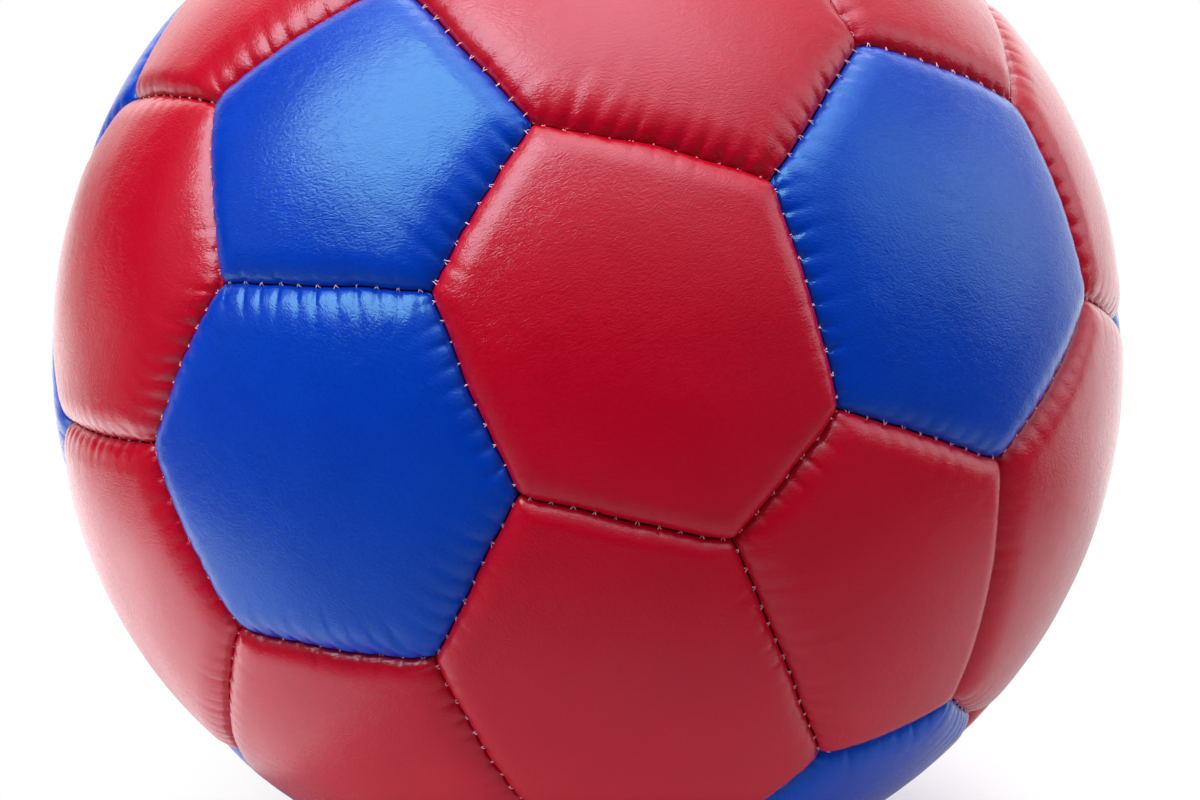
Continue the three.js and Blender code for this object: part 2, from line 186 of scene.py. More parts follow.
# A panel's lip along the seam to a neighbour: the depth, reach and width of the folds that its stitches
# draw, how far they lean along the seam for each millimetre inwards, and the width of its roll
USUAL_LIP = (0.19, 1.6, 0.55, 0.0, ROLL_WIDTH)
LIPS = {
    ("pentagon_panel_0", "hexagon_panel_0_1"): (0.42, 2.8, 0.6, 0.2, 5.5),
    ("pentagon_panel_0", "hexagon_panel_0_2"): (0.25, 1.0, 0.45, 0.3, 4.2),
    ("hexagon_panel_0_1", "pentagon_panel_0"): (0.12, 1.4, 0.5, 0.0, 4.2),
    ("hexagon_panel_0_1", "hexagon_panel_0_2"): (0.12, 1.2, 0.45, 0.0, 3.5),
    ("hexagon_panel_0_1", "hexagon_panel_1_2"): (0.06, 1.2, 0.45, 0.0, 3.5),
    ("hexagon_panel_0_1", "pentagon_panel_1"): (0.06, 1.2, 0.45, 0.0, 3.5),
    ("hexagon_panel_0_1", "hexagon_panel_1_7"): (0.12, 1.2, 0.45, 0.0, 3.5),
    ("hexagon_panel_0_1", "hexagon_panel_0_7"): (0.14, 1.4, 0.45, 0.0, 4.2),
    ("hexagon_panel_0_2", "pentagon_panel_0"): (0.36, 2.9, 0.36, -0.35, 5.4),
    ("hexagon_panel_0_2", "hexagon_panel_0_1"): (0.48, 1.4, 0.45, -0.1, 4.6),
    ("hexagon_panel_0_2", "hexagon_panel_1_2"): (0.42, 2.2, 0.5, -0.1, 4.6),
    ("hexagon_panel_0_2", "pentagon_panel_2"): (0.42, 2.8, 0.6, 0.6, 5.0),
    ("hexagon_panel_1_2", "hexagon_panel_0_1"): (0.14, 1.0, 0.6, 0.1, 2.8),
    ("hexagon_panel_1_2", "hexagon_panel_0_2"): (0.12, 1.2, 0.5, 0.0, 3.5),
    ("hexagon_panel_1_2", "pentagon_panel_1"): (0.2, 1.0, 0.45, 0.0, 4.2),
    ("pentagon_panel_1", "hexagon_panel_0_1"): (0.34, 1.1, 0.4, 0.0, 4.2),
    ("hexagon_panel_1_7", "hexagon_panel_0_1"): (0.56, 1.5, 0.5, 0.0, 7.0),
    ("hexagon_panel_1_7", "hexagon_panel_0_7"): (0.34, 1.5, 0.5, 0.0, 5.0),
    ("hexagon_panel_1_7", "pentagon_panel_1"): (0.28, 1.3, 0.7, 0.2, 4.2),
    ("hexagon_panel_0_7", "hexagon_panel_1_7"): (0.35, 2.2, 0.45, 0.0, 5.0),
    ("hexagon_panel_0_7", "hexagon_panel_0_1"): (0.48, 3.0, 0.65, -0.2, 5.0),
    ("hexagon_panel_3_7", "hexagon_panel_1_7"): (0.3, 2.0, 0.6, 0.0, 4.8),
    ("hexagon_panel_0_6", "pentagon_panel_0"): (0.15, 1.1, 0.6, 0.2, 14.0),
    ("hexagon_panel_0_6", "hexagon_panel_0_2"): (0.36, 2.4, 0.6, -0.5, 5.5),
    ("hexagon_panel_0_5", "pentagon_panel_0"): (0.3, 2.6, 0.5, 0.0, 8.0),
    ("hexagon_panel_0_5", "hexagon_panel_0_6"): (0.12, 0.8, 0.5, 0.0, 3.5),
    ("pentagon_panel_1", "hexagon_panel_1_2"): (0.28, 3.2, 0.7, 0.2, 5.5),
    ("pentagon_panel_1", "hexagon_panel_1_3"): (0.06, 1.2, 0.5, 0.0, 3.2),
    ("pentagon_panel_1", "hexagon_panel_1_8"): (0.06, 1.2, 0.5, 0.0, 3.5),
    ("pentagon_panel_2", "hexagon_panel_0_2"): (0.4, 0.7, 0.4, 0.0, 3.2),
    ("pentagon_panel_2", "hexagon_panel_1_2"): (0.32, 1.8, 0.5, -0.2, 4.6),
    ("hexagon_panel_2_6", "hexagon_panel_0_2"): (0.3, 1.4, 0.45, 0.0, 4.8),
    ("hexagon_panel_1_3", "hexagon_panel_1_8"): (0.2, 1.6, 0.5, 0.2, 4.8),
    ("hexagon_panel_1_3", "pentagon_panel_1"): (0.14, 1.4, 0.5, 0.1, 4.8),
    ("hexagon_panel_1_8", "pentagon_panel_1"): (0.28, 1.6, 0.45, 0.0, 4.2),
    ("hexagon_panel_1_8", "hexagon_panel_1_3"): (0.32, 2.6, 0.45, 0.0, 4.2),
}

# How deep the thread of the seam between two panels sits, and its reach over the lips
USUAL_THREAD = (0.18, 1.1)
THREADS = {
    ("hexagon_panel_0_1", "hexagon_panel_0_7"): (0.5, 0.5),
    ("pentagon_panel_2", "hexagon_panel_0_2"): (0.5, 0.5),
    ("hexagon_panel_0_6", "hexagon_panel_2_6"): (0.5, 0.5),
    ("hexagon_panel_0_5", "hexagon_panel_0_6"): (0.5, 0.5),
    ("pentagon_panel_2", "hexagon_panel_2_6"): (0.4, 0.6),
    ("pentagon_panel_0", "hexagon_panel_0_5"): (0.4, 0.6),
    ("pentagon_panel_1", "hexagon_panel_1_3"): (0.4, 0.6),
    ("hexagon_panel_0_1", "hexagon_panel_1_2"): (0.32, 0.8),
    ("pentagon_panel_1", "hexagon_panel_0_1"): (0.3, 0.8),
    ("pentagon_panel_0", "hexagon_panel_0_1"): (0.05, 2.2),
    ("pentagon_panel_0", "hexagon_panel_0_7"): (0.06, 1.9),
    ("hexagon_panel_0_7", "hexagon_panel_1_7"): (0.04, 2.0),
    ("pentagon_panel_7", "hexagon_panel_1_7"): (0.06, 1.7),
    ("hexagon_panel_1_7", "hexagon_panel_3_7"): (0.06, 1.7),
}

# Camera: it looks down on the ball, rolled a little, from a distance in ball radii
CAMERA_ELEVATION = 19.1
CAMERA_ROLL = 4.75
CAMERA_DISTANCE = 6.5
IMAGE_WIDTH = 1200
IMAGE_HEIGHT = 800
BALL_PIXEL = (588, 354)
BALL_PIXEL_RADIUS = 538
SENSOR_WIDTH = 36.0


def unit(vector):
    return vector / np.linalg.norm(vector)


def direction(longitude, latitude):
    """A unit vector from degrees of longitude (0 at the front, positive to the right) and latitude."""
    lon = math.radians(longitude)
    lat = math.radians(latitude)
    return np.array([math.cos(lat) * math.sin(lon), -math.cos(lat) * math.cos(lon), math.sin(lat)])


def towards(start, end, angle):
    """The direction at an angle from one direction towards another."""
    whole = math.acos(start @ end)
    return unit(start * math.sin(whole - angle) + end * math.sin(angle))


def smoothstep(low, high, value):
    share = np.clip((value - low) / (high - low), 0, 1)
    return share * share * (3 - 2 * share)


def lattice_noise(points, size, seed):
    """Smooth noise from -1 to 1 that changes over the given size in millimetres."""
    cells = points / size
    base = np.floor(cells).astype(np.int64)
    ease = smoothstep(0, 1, cells - base)
    total = np.zeros(len(points))
    for offset in itertools.product((0, 1), repeat=3):
        weight = np.prod(np.where(np.array(offset) == 1, ease, 1 - ease), axis=1)
        key = (base + offset) @ np.array([73856093, 19349663, 83492791]) + seed * 2654435
        key = (key ^ (key >> 13)) * 1274126177 & 0x7FFFFFFF
        key = (key ^ (key >> 11)) * 83492791 & 0x7FFFFFFF
        total += weight * (key / 0x3FFFFFFF - 1)
    return total


# The net of seams

def triangle_name(triangle):
    return "-".join(str(i) for i in triangle)


def icosahedron_net():
    """The icosahedron's corners, edges and triangles, which number the panels."""
    axes = np.array([direction(LAYOUT_TURN, 0), direction(LAYOUT_TURN + 90, 0), direction(0, 90)])
    corners = [unit(np.array(corner) @ axes) for corner in ICOSAHEDRON]

    def joined(i, j):
        return corners[i] @ corners[j] > NEIGHBOUR_COSINE

    edges = [(i, j) for i, j in itertools.combinations(range(12), 2) if joined(i, j)]
    triangles = [
        (i, j, k) for i, j, k in itertools.combinations(range(12), 3)
        if joined(i, j) and joined(i, k) and joined(j, k)
    ]
    return corners, edges, triangles


def seam_corners(corners, edges, triangles):
    """Where the seams meet: the regular net, drawn to the corners that the photograph shows."""
    points = {}
    seams = []
    for triangle in triangles:
        middle = unit(sum(corners[i] for i in triangle))
        name = triangle_name(triangle)
        points[name] = middle
        for i in triangle:
            points[f"{i}:{name}"] = towards(corners[i], middle, math.radians(PENTAGON_CORNER_ANGLE))
            seams.append((name, f"{i}:{name}"))
    for edge in edges:
        sides = [triangle_name(t) for t in triangles if edge[0] in t and edge[1] in t]
        seams += [(f"{i}:{sides[0]}", f"{i}:{sides[1]}") for i in edge]
    near = {name: [] for name in points}
    for first, second in seams:
        near[first].append(second)
        near[second].append(first)
    shifts = {name: np.zeros(3) for name in points}
    for name, place in SEEN_CORNERS.items():
        shifts[name] = direction(*place) - points[name]
    for _ in range(SHIFT_ROUNDS):
        for name, point in points.items():
            if name in SEEN_CORNERS:
                continue
            mean = sum(shifts[other] for other in near[name]) / len(near[name])
            shifts[name] = SHIFT_FADE * (mean - (mean @ point) * point)
    return {name: unit(point + shifts[name]) for name, point in points.items()}


def in_order(names, points):
    """Corner names anticlockwise round their middle, seen from outside the ball."""
    middle = unit(sum(points[name] for name in names))
    across = unit(points[names[0]] - (points[names[0]] @ middle) * middle)
    along = np.cross(middle, across)
    return sorted(names, key=lambda name: math.atan2(points[name] @ along, points[name] @ across))


def panel_corners(net, points):
    """Each panel's node name with its corner names in order."""
    corners, edges, triangles = net
    panels = {}
    for i in range(len(corners)):
        names = [f"{i}:{triangle_name(t)}" for t in triangles if i in t]
        panels[f"pentagon_panel_{i}"] = in_order(names, points)
    for i, j in edges:
        sides = [triangle_name(t) for t in triangles if i in t and j in t]
        names = [name for side in sides for name in (side, f"{i}:{side}", f"{j}:{side}")]
        panels[f"hexagon_panel_{i}_{j}"] = in_order(names, points)
    return panels


class Seam:
    """One seam, from its first corner to its second, with its stitches and its small wanderings."""

    def __init__(self, names, points):
        self.names = names
        self.start = points[names[0]]
        self.end = points[names[1]]
        self.normal = unit(np.cross(self.start, self.end))
        self.along = np.cross(self.normal, self.start)
        self.angle = math.acos(self.start @ self.end)
        self.stitches = round(BALL_RADIUS * self.angle / STITCH_SPACING)
        chance = random.Random(" ".join(names))
        self.waves = [
            (chance.uniform(0.4, 1) * WANDER / turns, turns, chance.random()) for turns in WANDER_TURNS
        ]
        self.tugs = [chance.uniform(-1, 1) for _ in range(self.stitches + 2)]
        self.folds = {}

    def share(self, p):
        """How far along the seam directions lie, from 0 at the first corner to 1 at the second."""
        return np.arctan2(p @ self.along, p @ self.start) / self.angle

    def wander(self, share):
        """How far the seam line strays to the side of its plane's normal, in millimetres."""
        inside = np.clip(share, 0, 1)
        window = smoothstep(0, SETTLING_SHARE, inside) * smoothstep(0, SETTLING_SHARE, 1 - inside)
        drift = sum(
            size * np.sin(2 * math.pi * (turns * inside + phase)) for size, turns, phase in self.waves
        )
        phase = inside * self.stitches - 0.5
        near = np.round(phase).astype(int)
        tug = np.array(self.tugs)[np.clip(near, 0, self.stitches + 1)]
        return window * (drift + STITCH_TUCK * 0.5 * tug * np.cos(math.pi * (phase - near)) ** 2)

    def pucker(self, panel, other, share, inward):
        """How far a panel's lip is drawn down at the stitches, in millimetres."""
        depth, reach, width, lean, _ = LIPS.get((panel, other), USUAL_LIP)
        if panel not in self.folds:
            chance = np.random.default_rng(sum(map(ord, panel + " ".join(self.names))))
            self.folds[panel] = chance.uniform(FOLD_LEAST, FOLD_MOST, (self.stitches, 4))
        pitch = self.angle * BALL_RADIUS / self.stitches
        along = share * self.angle * BALL_RADIUS
        first = np.floor(along / pitch - 0.5).astype(int)
        drawn = np.zeros(len(share))
        for near in (first, first + 1):
            strength, long, slant, wide = self.folds[panel][np.clip(near, 0, self.stitches - 1)].T
            inside = (near >= 0) & (near < self.stitches)
            off = along - (near + 0.5) * pitch - (lean + slant) * inward
            shape = np.exp(-(off / (width * wide * (1 + FOLD_WIDENING * inward))) ** 2)
            drawn += inside * strength * shape * np.exp(-inward / (reach * long))
        return depth * drawn * np.clip(inward / FOLD_START, 0, 1)


class Panel:
    """One padded panel: its sides, and the height of its surface anywhere on it."""

    def __init__(self, name, corner_names, points, seams, owners):
        self.name = name
        self.centre = unit(sum(points[corner] for corner in corner_names))
        self.corners = [points[corner] for corner in corner_names]
        self.sides = []
        for first, second in zip(corner_names, corner_names[1:] + corner_names[:1]):
            seam = seams[tuple(sorted((first, second)))]
            facing = 1 if seam.names == (first, second) else -1
            other = next(owner for owner in owners[seam.names] if owner != name)
            self.sides.append((seam, facing, other))
        self.seed = sum(ord(letter) * (place + 1) for place, letter in enumerate(name)) % 1000
        self.grain_angle = random.Random(name).uniform(-0.7, 0.7)

    def radius(self, p):
        """Distance of the outer surface from the ball's centre at directions p."""
        dome = np.ones(len(p))
        drawn = np.zeros(len(p))
        closeness = np.zeros(len(p))
        for seam, facing, other in self.sides:
            inward = BALL_RADIUS * np.arcsin(np.clip(p @ seam.normal * facing, -1, 1))
            inward = np.maximum(inward, 0)
            width = LIPS.get((self.name, other), USUAL_LIP)[4]
            closeness += np.exp(-CORNER_SHARPNESS * inward * ROLL_WIDTH / width)
            dome *= 1 - (1 - np.clip(inward / CROWN_REACH, 0, 1)) ** 2
            drawn += seam.pucker(self.name, other, seam.share(p), inward)
        nearest = np.maximum(-np.log(closeness) / CORNER_SHARPNESS, 0)
        roll = 1 - (1 - np.clip(nearest / ROLL_WIDTH, 0, 1)) ** 2
        lumps = LUMP_HEIGHT * lattice_noise(p * BALL_RADIUS, LUMP_SIZE, self.seed)
        ripples = RIPPLE_HEIGHT * lattice_noise(p * BALL_RADIUS, RIPPLE_SIZE, self.seed + 31)
        ripples *= np.exp(-nearest / RIPPLE_FADE)
        uneven = (lumps + ripples) * np.clip(nearest / EVEN_EDGE, 0, 1)
        rise = (SEAM_DEPTH - CROWN_RISE) * np.sqrt(roll) + CROWN_RISE * dome
        return SEAM_RADIUS + rise - drawn + uneven

    def placed(self, p, radius):
        """Points of the panel in the frame, drawn along where its seams wander."""
        moved = p.copy()
        for seam, facing, _ in self.sides:
            inward = np.maximum(BALL_RADIUS * np.arcsin(np.clip(p @ seam.normal * facing, -1, 1)), 0)
            sideways = seam.wander(seam.share(p)) * np.exp(-inward / WANDER_FADE) / BALL_RADIUS
            moved += sideways[:, None] * seam.normal
        moved /= np.linalg.norm(moved, axis=1)[:, None]
        points = CENTRE + moved * np.reshape(radius, (-1, 1))
        points[:, 2] = np.maximum(points[:, 2], 0)
        return points


def outline(panel):
    """A panel's rounded outline on the plane that touches its middle: points and their inward reaches."""
    across = unit(panel.corners[0] - (panel.corners[0] @ panel.centre) * panel.centre)
    along = np.cross(panel.centre, across)
    axes = np.array([across, along])
    flat = [BALL_RADIUS * (axes @ corner) / (corner @ panel.centre) for corner in panel.corners]
    path = []
    count = len(flat)
    for i, corner in enumerate(flat):
        back = unit(flat[i - 1] - corner)
        ahead = unit(flat[(i + 1) % count] - corner)
        half = math.acos(back @ ahead) / 2
        middle = corner + unit(back + ahead) * CORNER_ROUND / math.sin(half)
        first = corner + back * CORNER_ROUND / math.tan(half) - middle
        sweep = math.pi - 2 * half
        for step in range(CORNER_STEPS + 1):
            angle = sweep * step / CORNER_STEPS
            turn = np.array([[math.cos(angle), -math.sin(angle)], [math.sin(angle), math.cos(angle)]])
            path.append(middle + turn @ first)
    path = np.array(path + path[:1])
    lengths = np.concatenate([[0], np.cumsum(np.linalg.norm(np.diff(path, axis=0), axis=1))])
    wanted = np.arange(SIDE_POINTS * count) / (SIDE_POINTS * count) * lengths[-1]
    points = np.stack([np.interp(wanted, lengths, path[:, axis]) for axis in (0, 1)], axis=1)
    tangent = np.roll(points, -2, axis=0) - np.roll(points, 2, axis=0)
    tangent /= np.linalg.norm(tangent, axis=1)[:, None]
    outward = np.stack([tangent[:, 1], -tangent[:, 0]], axis=1)
    reach = np.sum(points * outward, axis=1)
    return axes, points, reach


def faces_between(outer, inner):
    """Faces from a ring of vertex numbers to one inside it with as many, or half as many."""
    count = len(inner)
    if len(outer) == count:
        return [
            (outer[j], outer[(j + 1) % count], inner[(j + 1) % count], inner[j]) for j in range(count)
        ]
    faces = []
    for j in range(count):
        here, middle, there = outer[2 * j], outer[2 * j + 1], outer[(2 * j + 2) % len(outer)]
        following = inner[(j + 1) % count]
        faces += [(here, middle, inner[j]), (middle, following, inner[j]), (middle, there, following)]
    return faces


def new_object(name, points, faces, material, cut=None):
    """A smooth mesh object from points in millimetres. cut holds each point's place on the flat leather."""
    mesh = bpy.data.meshes.new(name)
    mesh.from_pydata((np.asarray(points) * METRE).tolist(), [], faces)
    mesh.polygons.foreach_set("use_smooth", [True] * len(mesh.polygons))
    mesh.materials.append(material)
    if cut is not None:
        places = mesh.attributes.new("cut", "FLOAT_VECTOR", "POINT")
        places.data.foreach_set("vector", np.asarray(cut, dtype=np.float32).ravel())
    mesh.update()
    obj = bpy.data.objects.new(name, mesh)
    bpy.context.scene.collection.objects.link(obj)
    return obj


def grain_axes(panel, axes):
    """Turns a panel's flat places so that the leather's grain lies nearly level, at its own angle."""
    level = unit(np.cross((0, 0, 1), panel.centre))
    angle = math.atan2(axes[1] @ level, axes[0] @ level) + panel.grain_angle
    return np.array([[math.cos(angle), -math.sin(angle)], [math.sin(angle), math.cos(angle)]])


def panel_mesh(panel, material, hole_radius):
    """The padded panel as one closed mesh: crowned face, rolled edge, side wall and underside."""
    axes, edge, reach = outline(panel)

    def on_ball(flat):
        p = panel.centre * BALL_RADIUS + flat @ axes
        return p / np.linalg.norm(p, axis=1)[:, None]

    def every(step, inward):
        return edge[::step] * (1 - inward / reach[::step])[:, None]

    def shrunk(ring, share):
        hole = hole_radius * ring / np.linalg.norm(ring, axis=1)[:, None]
        return hole + (ring - hole) * (1 - share)

    rings = [every(1 if i < FINE_RINGS else 2, inward) for i, inward in enumerate(EDGE_RINGS)]
    last = rings[-1]
    steps = HOLED_THINNING if hole_radius else INNER_THINNING
    rings += [shrunk(last[::step // 2], share) for step, share in zip(steps, INNER_RINGS)]
    if hole_radius:
        rings.append(shrunk(last[::2], 1))

    points = []
    cut = []
    faces = []
    numbers = []
    start = 0
    for ring in rings:
        p = on_ball(ring)
        radius = panel.radius(p)
        if hole_radius:
            off = np.linalg.norm(ring, axis=1) - hole_radius
            near_hole = 1 - np.clip(off / HOLE_EDGE_WIDTH, 0, 1)
            radius -= HOLE_EDGE_DEPTH * (1 - np.sqrt(1 - near_hole ** 2))
        points.append(panel.placed(p, radius))
        cut.append(ring)
        numbers.append(list(range(start, start + len(ring))))
        start += len(ring)
    for outer, inner in zip(numbers, numbers[1:]):
        faces += faces_between(outer, inner)

    under = [rings[0]] + [shrunk(rings[0][::2 ** (i + 1)], share) for i, share in enumerate(UNDER_RINGS)]
    if hole_radius:
        under = [rings[0], shrunk(rings[0][::2], 0.3), shrunk(rings[0][::4], 0.7), shrunk(rings[0][::4], 1)]
    under_numbers = []
    for ring in under:
        p = on_ball(ring)
        points.append(panel.placed(p, np.full(len(ring), INNER_RADIUS + UNDERSIDE_CLEARANCE)))
        cut.append(ring)
        under_numbers.append(list(range(start, start + len(ring))))
        start += len(ring)
    for outer, inner in zip(under_numbers, under_numbers[1:]):
        faces += [face[::-1] for face in faces_between(outer, inner)]
    faces += [face[::-1] for face in faces_between(numbers[0], under_numbers[0])]

    if hole_radius:
        faces += faces_between(numbers[-1], under_numbers[-1])
    else:
        middle = panel.centre[None]
        points.append(panel.placed(middle, panel.radius(middle)))
        points.append(panel.placed(middle, np.array([INNER_RADIUS + UNDERSIDE_CLEARANCE])))
        cut.append(np.zeros((2, 2)))
        for ring, tip, turned in ((numbers[-1], start, False), (under_numbers[-1], start + 1, True)):
            for j, here in enumerate(ring):
                face = (here, ring[(j + 1) % len(ring)], tip)
                faces.append(face[::-1] if turned else face)
    cut = np.concatenate(cut) @ grain_axes(panel, axes)
    cut = np.column_stack([cut, np.full(len(cut), float(panel.seed))])
    return new_object(f"padded_{panel.name}", np.concatenate(points), faces, material, cut)


# Stitching

def thread_tubes(paths, radii):
    """Points and faces of many threads, each with its own path and radius, closed at both ends."""
    ahead = np.gradient(paths, axis=1)
    ahead /= np.linalg.norm(ahead, axis=2, keepdims=True)
    side = np.cross(ahead, paths - CENTRE)
    side /= np.linalg.norm(side, axis=2, keepdims=True)
    up = np.cross(side, ahead)
    angles = 2 * np.pi * np.arange(THREAD_SIDES) / THREAD_SIDES
    around = side[:, :, None] * np.cos(angles)[:, None] + up[:, :, None] * np.sin(angles)[:, None]
    points = paths[:, :, None] + around * radii[:, None, None, None]
    faces = []
    for thread in range(len(paths)):
        first = thread * THREAD_STEPS * THREAD_SIDES
        for step in range(THREAD_STEPS - 1):
            base = first + step * THREAD_SIDES
            for j in range(THREAD_SIDES):
                k = (j + 1) % THREAD_SIDES
                faces.append((base + j, base + k, base + THREAD_SIDES + k, base + THREAD_SIDES + j))
        end = first + (THREAD_STEPS - 1) * THREAD_SIDES
        faces.append(tuple(range(first, first + THREAD_SIDES))[::-1])
        faces.append(tuple(range(end, end + THREAD_SIDES)))
    return points.reshape(-1, 3), faces


def seam_threads(seam, lips):
    """Paths and radii of a seam's visible thread: at every stitch two short lengths that cross it in a V."""
    facing = [next(f for s, f, _ in lip.sides if s is seam) for lip in lips]
    sink, far = THREADS.get((lips[0].name, lips[1].name), USUAL_THREAD)
    chance = np.random.default_rng(sum(map(ord, " ".join(seam.names))))
    count = 2 * seam.stitches
    middle = (np.repeat(np.arange(seam.stitches), 2) + 0.5) / seam.stitches
    length = seam.angle * BALL_RADIUS
    middle += chance.uniform(-THREAD_STRAY, THREAD_STRAY, count) / length
    lean = np.tile([-1, 1], seam.stitches) * THREAD_LEAN
    lean = lean * chance.uniform(*THREAD_LEAN_SHARES, count) / length
    lift = chance.uniform(*THREAD_LIFTS, count)
    reach = chance.uniform(*THREAD_REACH_SHARES, count)[:, None] * far
    paths = np.zeros((count, THREAD_STEPS, 3))
    for step, across in enumerate(np.linspace(-1, 1, THREAD_STEPS)):
        side = 1 if across > 0 else 0
        angle = (middle + lean * (across + 1) / 2)[:, None] * seam.angle
        base = seam.start * np.cos(angle) + seam.along * np.sin(angle)
        out = seam.normal * THREAD_REACH * facing[side] / BALL_RADIUS
        lip = base + out
        height = lips[side].radius(lip / np.linalg.norm(lip, axis=1)[:, None])
        height += lift - sink + THREAD_BOW * (1 - across ** 2)
        p = base + out * abs(across) * reach
        paths[:, step] = lips[side].placed(p / np.linalg.norm(p, axis=1)[:, None], height)
    return paths, THREAD_RADIUS * chance.uniform(*THREAD_RADIUS_SHARES, count)


def stitching(seams, panels, owners, material):
    """All the stitching's visible thread as one piece."""
    threads = [seam_threads(seam, [panels[name] for name in owners[seam.names]]) for seam in seams.values()]
    paths = np.concatenate([paths for paths, _ in threads])
    points, faces = thread_tubes(paths, np.concatenate([radii for _, radii in threads]))
    return new_object("seam_stitching", points, faces, material)


# Valve

def turned(name, profile, axis, material):
    """A turned piece from its closed profile of (radius, height) points, about an axis of the ball."""
    turn = np.array(Vector((0, 0, 1)).rotation_difference(Vector(axis)).to_matrix())
    points = []
    for radius, height in profile:
        for step in range(ROUND_STEPS):
            angle = 2 * math.pi * step / ROUND_STEPS
            across = [radius * math.cos(angle), radius * math.sin(angle), height]
            points.append(CENTRE + turn @ np.array(across))
    faces = []
    rows = len(profile)
    for row in range(rows):
        below = row * ROUND_STEPS
        above = (row + 1) % rows * ROUND_STEPS
        for step in range(ROUND_STEPS):
            following = (step + 1) % ROUND_STEPS
            faces.append((below + step, below + following, above + following, above + step))
    return new_object(name, points, faces, material)


def softened(profile, bevel):
    """A profile with each corner cut by a small bevel, in two steps."""
    result = []
    count = len(profile)
    for i, point in enumerate(profile):
        here = np.array(point, dtype=float)
        before = np.array(profile[i - 1], dtype=float)
        after = np.array(profile[(i + 1) % count], dtype=float)
        back = min(bevel, np.linalg.norm(before - here) / 3)
        ahead = min(bevel, np.linalg.norm(after - here) / 3)
        first = here + unit(before - here) * back
        second = here + unit(after - here) * ahead
        result += [first, (first + second + 2 * here) / 4, second]
    return result


def valve_housing(axis, material):
    """The rubber sleeve with its flange inside the bladder and a thin ring round its mouth."""
    bottom = HOUSING_TOP - HOUSING_LENGTH
    bore = PLUG_RADIUS + FIT_CLEARANCE
    seat = HOUSING_TOP - PLUG_HEAD_THICKNESS - FIT_CLEARANCE
    mouth = PLUG_HEAD_RADIUS + FIT_CLEARANCE

    def dome(top, off):
        return (off, math.sqrt(top ** 2 - off ** 2))

    under = FLANGE_TOP - FLANGE_THICKNESS
    flange = [dome(under, HOUSING_RADIUS), dome(under, 7.5), dome(under, FLANGE_RADIUS)]
    flange += [dome(FLANGE_TOP, FLANGE_RADIUS), dome(FLANGE_TOP, 7.5), dome(FLANGE_TOP, HOUSING_RADIUS)]
    profile = [
        (NEEDLE_EXIT_RADIUS, bottom), (HOUSING_RADIUS, bottom), *flange,
        (HOUSING_RADIUS, HOUSING_TOP - 0.2), (3.75, HOUSING_TOP), (3.5, HOUSING_TOP),
        (3.4, HOUSING_TOP - 0.18), (3.3, HOUSING_TOP), (mouth, HOUSING_TOP), (mouth, seat), (bore, seat),
        (bore, bottom + HOUSING_END_WALL), (NEEDLE_EXIT_RADIUS, bottom + HOUSING_END_WALL),
    ]
    return turned("valve_housing_rubber", softened(profile, HOUSING_BEVEL), axis, material)


def valve_plug(axis, material):
    """The headed pin with a guide hole for the needle."""
    under_head = HOUSING_TOP - PLUG_HEAD_THICKNESS
    floor = HOUSING_TOP - NEEDLE_HOLE_DEPTH
    tip = HOUSING_TOP - PLUG_LENGTH
    hair = 0.02
    profile = [
        (hair, tip), (PLUG_RADIUS * 0.8, tip), (PLUG_RADIUS, tip + 0.8), (PLUG_RADIUS, under_head),
        (PLUG_HEAD_RADIUS, under_head), (PLUG_HEAD_RADIUS, HOUSING_TOP), (1.6, HOUSING_TOP),
        (NEEDLE_HOLE_RADIUS, HOUSING_TOP - 0.35), (NEEDLE_HOLE_RADIUS, floor), (hair, floor),
    ]
    return turned("valve_plug_rubber", softened(profile, PLUG_BEVEL), axis, material)


# Materials

# Leather: a colour, its deeper tone, and the tint of its gloss. The deeper tone shows in random patches, and
# in the grain's creases as painted shade.
RED_LEATHER = ((0.442, 0.0005, 0.0158), (0.39, 0.0002, 0.0125), (0.68, 0.82, 1.0))
BLUE_LEATHER = ((0.0002, 0.038, 0.432), (0.0001, 0.028, 0.352), (0.36, 0.93, 0.9))
LEATHER_GLOSS = {"IOR": 1.5, "Specular IOR Level": 0.64}
GRAIN_STRETCH = (2.1, 4.5, 1.0)
GRAIN_HEIGHT = 0.000027
# Thread: its colour and the darker one of its twist
THREAD_PALE = (0.95, 0.62, 0.74)
THREAD_DEEP = (0.78, 0.42, 0.56)
VALVE_BLACK = (0.018, 0.018, 0.02)
BLADDER_BLACK = (0.012, 0.012, 0.013)


class Nodes:
    """The node tree of a new material, or of the world, built line by line."""

    def __init__(self, owner):
        self.material = bpy.data.materials.new(owner) if isinstance(owner, str) else owner
        self.material.use_nodes = True
        self.tree = self.material.node_tree
        self.tree.nodes.clear()
        end = "Material" if isinstance(owner, str) else "World"
        self.output = self.add("ShaderNodeOutput" + end)

    def add(self, kind, values=(), **settings):
        node = self.tree.nodes.new(kind)
        for key, value in settings.items():
            setattr(node, key, value)
        for key, value in dict(values).items():
            node.inputs[key].default_value = value
        return node

    def join(self, source, target):
        self.tree.links.new(source, target)

    def math(self, operation, first, second=0.0, clamp=False):
        node = self.add("ShaderNodeMath", operation=operation, use_clamp=clamp)
        for socket, value in zip(node.inputs, (first, second)):
            if isinstance(value, (int, float)):
                socket.default_value = value
            else:
                self.join(value, socket)
        return node.outputs[0]

    def spread(self, value, low, high, new_low, new_high):
        node = self.add("ShaderNodeMapRange", {1: low, 2: high, 3: new_low, 4: new_high})
        self.join(value, node.inputs[0])
        return node.outputs[0]

    def mix(self, share, first, second):
        node = self.add("ShaderNodeMix", data_type="RGBA")
        for socket, value in ((node.inputs[0], share), (node.inputs[6], first), (node.inputs[7], second)):
            if isinstance(value, (tuple, float)):
                socket.default_value = value
            else:
                self.join(value, socket)
        return node.outputs[2]


